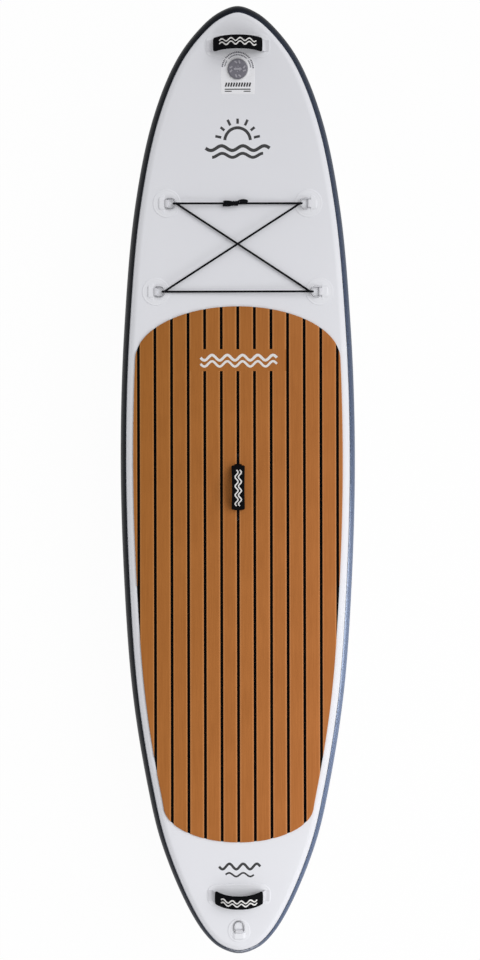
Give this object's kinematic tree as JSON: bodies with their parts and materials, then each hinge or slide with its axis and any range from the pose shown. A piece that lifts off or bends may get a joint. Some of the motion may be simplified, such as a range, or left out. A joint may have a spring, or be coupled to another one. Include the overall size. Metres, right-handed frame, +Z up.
{
  "type": "stand-up paddle board",
  "caption": "Inflatable stand-up paddle board with a grooved foam deck pad, bungee luggage net, carry handles, D-rings, a capped air valve and a slide-in centre fin.",
  "frame": {"origin": "middle of the hull's flat bottom, halfway along the board", "axes": "+X to starboard, +Y to the nose, +Z up through the deck"},
  "size_m": [0.8114, 3.2, 0.5547],
  "materials": {
    "black_fabric": "woven",
    "black_foam": "fine-grained foam",
    "black_plastic": "satin",
    "brass": "plain",
    "brown_foam": "brushed foam",
    "dark_pvc": "satin charcoal coated fabric",
    "grey_plastic": "fine matt",
    "rubber": "matt",
    "steel": "polished stainless wire",
    "thread": "white polyester thread",
    "white_pvc": "satin white coated fabric",
    "white_webbing": "woven webbing"
  },
  "bodies": {
    "hull": {"bottom_skin": "white_pvc", "bow_handle_patch": "white_pvc", "bow_handle_strap": "white_webbing", "bow_left_ring_patch": "white_pvc", "bow_left_ring_tab": "white_webbing", "bow_right_ring_patch": "white_pvc", "bow_right_ring_tab": "white_webbing", "bungee_cord": "black_fabric", "bungee_knot": "black_fabric", "centre_handle_patch": "dark_pvc", "centre_handle_strap": "black_fabric", "deck_pad_base": "black_foam", "deck_plank_centre": "brown_foam", "deck_plank_left_1": "brown_foam", "deck_plank_left_2": "brown_foam", "deck_plank_left_3": "brown_foam", "deck_plank_left_4": "brown_foam", "deck_plank_right_1": "brown_foam", "deck_plank_right_2": "brown_foam", "deck_plank_right_3": "brown_foam", "deck_plank_right_4": "brown_foam", "deck_skin": "white_pvc", "drop_stitch_core": "thread", "fin_box": "black_plastic", "fin_box_patch": "white_pvc", "mid_left_ring_patch": "white_pvc", "mid_left_ring_tab": "white_webbing", "mid_right_ring_patch": "white_pvc", "mid_right_ring_tab": "white_webbing", "rail_band": "dark_pvc", "side_fin_left": "black_plastic", "side_fin_patch_left": "white_pvc", "side_fin_patch_right": "white_pvc", "side_fin_right": "black_plastic", "side_wall_strip": "white_pvc", "tail_handle_patch": "white_pvc", "tail_handle_strap": "white_webbing", "tail_ring_patch": "white_pvc", "tail_ring_tab": "white_webbing", "valve_body": "grey_plastic", "valve_nut": "grey_plastic", "valve_spring": "steel"},
    "bow_left_ring": {"bow_left_d_ring": "steel"},
    "bow_right_ring": {"bow_right_d_ring": "steel"},
    "mid_left_ring": {"mid_left_d_ring": "steel"},
    "mid_right_ring": {"mid_right_d_ring": "steel"},
    "tail_ring": {"tail_d_ring": "steel"},
    "bow_handle": {"bow_handle_grip": "black_fabric"},
    "centre_handle": {"centre_handle_grip": "black_fabric"},
    "tail_handle": {"tail_handle_grip": "black_fabric"},
    "cap_gasket": {"valve_gasket": "rubber"},
    "cap": {"valve_cap": "grey_plastic"},
    "valve_plunger": {"valve_stem": "black_plastic", "valve_seal": "rubber"},
    "fin": {"centre_fin": "black_plastic", "fin_pin": "brass", "fin_nut": "brass"},
    "fin_screw": {"fin_screw": "brass"}
  },
  "joints": [
    {"name": "bow_left_ring_hinge", "type": "hinge", "parent": "hull", "child": "bow_left_ring", "pos_m": [-0.24, 0.95529, 0.18545], "axis": [0, -0.9923, -0.1235], "range_deg": [-5, 40], "stiffness_Nm_per_rad": 0.3, "deforming": ["bungee_cord"]},
    {"name": "bow_right_ring_hinge", "type": "hinge", "parent": "hull", "child": "bow_right_ring", "pos_m": [0.24, 0.95529, 0.18545], "axis": [0, 0.9923, 0.1235], "range_deg": [-5, 40], "stiffness_Nm_per_rad": 0.3, "deforming": ["bungee_cord"]},
    {"name": "mid_left_ring_hinge", "type": "hinge", "parent": "hull", "child": "mid_left_ring", "pos_m": [-0.279, 0.65872, 0.15995], "axis": [0, -0.9988, -0.0495], "range_deg": [-5, 40], "stiffness_Nm_per_rad": 0.3, "deforming": ["bungee_cord"]},
    {"name": "mid_right_ring_hinge", "type": "hinge", "parent": "hull", "child": "mid_right_ring", "pos_m": [0.279, 0.65872, 0.15995], "axis": [0, 0.9988, 0.0495], "range_deg": [-5, 40], "stiffness_Nm_per_rad": 0.3, "deforming": ["bungee_cord"]},
    {"name": "tail_ring_hinge", "type": "hinge", "parent": "hull", "child": "tail_ring", "pos_m": [0, -1.50487, 0.18939], "axis": [1, 0, 0], "range_deg": [0, 150]},
    {"name": "bow_handle_lean", "type": "hinge", "parent": "hull", "child": "bow_handle", "pos_m": [0, 1.46169, 0.2812], "axis": [-1, 0, 0], "range_deg": [-37, 3], "stiffness_Nm_per_rad": 1, "deforming": ["bow_handle_strap"]},
    {"name": "centre_handle_lean", "type": "hinge", "parent": "hull", "child": "centre_handle", "pos_m": [0, -0.007, 0.1512], "axis": [0, -1, 0], "range_deg": [-20, 20], "stiffness_Nm_per_rad": 1, "deforming": ["centre_handle_strap"]},
    {"name": "tail_handle_lean", "type": "hinge", "parent": "hull", "child": "tail_handle", "pos_m": [0, -1.39089, 0.17335], "axis": [-1, 0, 0], "range_deg": [-8, 32], "stiffness_Nm_per_rad": 1, "deforming": ["tail_handle_strap"]},
    {"name": "valve_cap_lift", "type": "slide", "parent": "hull", "child": "cap_gasket", "axis": [0, -0.2405, 0.9706], "range_m": [0, 0.04]},
    {"name": "valve_cap_turn", "type": "hinge", "parent": "cap_gasket", "child": "cap", "pos_m": [0, 1.391, 0.2616], "axis": [0, -0.2405, 0.9706], "range_deg": [0, 90]},
    {"name": "valve_push", "type": "slide", "parent": "hull", "child": "valve_plunger", "axis": [0, 0.2405, -0.9706], "range_m": [0, 0.004], "stiffness_N_per_m": 600, "springref_m": -0.001, "deforming": ["valve_spring"]},
    {"name": "fin_slide", "type": "slide", "parent": "hull", "child": "fin", "axis": [0, 0.999, -0.0457], "range_m": [-0.02, 0.02]},
    {"name": "fin_screw_turn", "type": "hinge", "parent": "fin", "child": "fin_screw", "pos_m": [0, -1.06516, -0.02353], "axis": [0, 0.0457, 0.999], "continuous": true}
  ]
}
